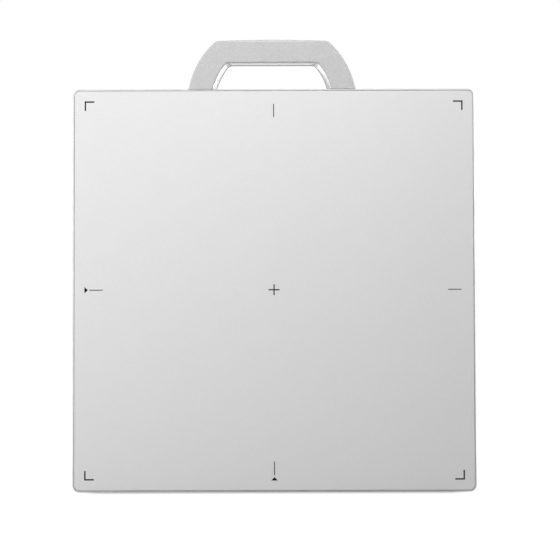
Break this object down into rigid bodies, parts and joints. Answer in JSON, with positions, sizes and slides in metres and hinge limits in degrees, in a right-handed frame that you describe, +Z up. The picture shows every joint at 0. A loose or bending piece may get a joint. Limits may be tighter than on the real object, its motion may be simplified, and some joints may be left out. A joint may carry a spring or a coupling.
{
  "type": "x-ray flat panel detector",
  "caption": "Square wireless x-ray flat panel detector cassette standing on its edge, with a metal carrying handle on top, aiming marks on the face and a battery in the back.",
  "frame": {"origin": "on the floor under the middle of the bottom edge", "axes": "+Z up along the panel's height, towards the handle; -Y is the way the entrance face looks; +X to the right as seen from the front"},
  "size_m": [0.46, 0.0154, 0.5175],
  "materials": {
    "frame_metal": "anodised satin",
    "plate_coat": "carbon fibre under a fine satin silver coat",
    "ink": "matt ink",
    "handle_metal": "fine sand-blasted",
    "core_metal": "as machined",
    "cover_coat": "magnesium alloy under a fine matt dark coat",
    "seal_rubber": "matt",
    "feet_rubber": "matt",
    "screw_steel": "machined",
    "label_stock": "satin, bare",
    "vent_plastic": "matt",
    "window_plastic": "fine texture",
    "foam": "open foam",
    "scintillator_layer": "white crystal layer",
    "sensor_glass": "polished",
    "lead": "dull rolled sheet",
    "support_metal": "cast and machined",
    "flex_film": "amber film",
    "chip_black": "moulded",
    "board_green": "solder mask",
    "standoff_brass": "machined",
    "shield_tin": "tinned",
    "cable_film": "flat cable",
    "antenna_ceramic": "ceramic",
    "lead_jacket": "smooth jacket",
    "pad_silicone": "soft pad",
    "tray_plastic": "moulded",
    "contact_gold": "gold plated",
    "block_plastic": "moulded",
    "pack_plastic": "fine spark texture",
    "cell_foil": "pouch foil",
    "latch_plastic": "moulded orange",
    "bolt_plastic": "moulded",
    "button_rubber": "soft touch",
    "lens_clear": "clear light guide",
    "port_plastic": "moulded"
  },
  "bodies": {
    "detector": {"side_frame": "frame_metal", "front_plate": "plate_coat", "alignment_marks": "ink", "front_gasket": "seal_rubber", "rear_cover": "cover_coat", "rear_gasket": "seal_rubber", "rear_cover_screws": "screw_steel", "rear_feet": "feet_rubber", "rear_label": "label_stock", "vent_plug": "vent_plastic", "antenna_windows": "window_plastic", "foam_pad": "foam", "scintillator": "scintillator_layer", "sensor_glass": "sensor_glass", "lead_sheet": "lead", "support_plate": "support_metal", "support_screws": "screw_steel", "sensor_flexes": "flex_film", "flex_chips": "chip_black", "readout_board": "board_green", "gate_board": "board_green", "main_board": "board_green", "power_board": "board_green", "wifi_module": "board_green", "board_standoffs": "standoff_brass", "board_screws": "screw_steel", "board_chips": "chip_black", "board_shields": "shield_tin", "flat_cables": "cable_film", "antennas": "antenna_ceramic", "antenna_leads": "lead_jacket", "thermal_pad": "pad_silicone", "battery_tray": "tray_plastic", "contact_block": "block_plastic", "handle_front_shell": "handle_metal", "handle_rear_shell": "handle_metal", "handle_core": "core_metal", "handle_gaskets": "seal_rubber", "handle_screws": "screw_steel", "handle_shell_screws": "screw_steel", "button_seals": "seal_rubber", "button_board": "board_green", "status_lenses": "lens_clear", "dock_connector": "block_plastic", "dock_contacts": "contact_gold", "port_cover_pin": "screw_steel"},
    "battery": {"battery_outer_case": "pack_plastic", "battery_inner_case": "pack_plastic", "battery_cells": "cell_foil", "battery_board": "board_green", "battery_pads": "contact_gold"},
    "latch_left": {"latch_knob_left": "latch_plastic", "latch_bolt_left": "bolt_plastic"},
    "latch_right": {"latch_knob_right": "latch_plastic", "latch_bolt_right": "bolt_plastic"},
    "power_key": {"power_button": "button_rubber"},
    "mode_key": {"mode_button": "button_rubber"},
    "battery_contacts": {"contact_pins": "contact_gold"},
    "port_door": {"port_cover": "port_plastic"}
  },
  "joints": [
    {"name": "battery_slide", "type": "slide", "parent": "detector", "child": "battery", "axis": [0, 1, 0], "range_m": [0, 0.012]},
    {"name": "latch_left_slide", "type": "slide", "parent": "detector", "child": "latch_left", "axis": [1, 0, 0], "range_m": [0, 0.004]},
    {"name": "latch_right_slide", "type": "slide", "parent": "detector", "child": "latch_right", "axis": [-1, 0, 0], "range_m": [0, 0.004]},
    {"name": "power_press", "type": "slide", "parent": "detector", "child": "power_key", "axis": [0, 0, -1], "range_m": [0, 0.0008], "stiffness_N_per_m": 1500},
    {"name": "mode_press", "type": "slide", "parent": "detector", "child": "mode_key", "axis": [0, 0, -1], "range_m": [0, 0.0008], "stiffness_N_per_m": 1500},
    {"name": "contact_press", "type": "slide", "parent": "detector", "child": "battery_contacts", "axis": [0, -1, 0], "range_m": [0, 0.0005], "stiffness_N_per_m": 1500},
    {"name": "port_cover_hinge", "type": "hinge", "parent": "detector", "child": "port_door", "pos_m": [0.2287, 0.0024, 0.146], "axis": [0, 0, 1], "range_deg": [0, 95]}
  ]
}
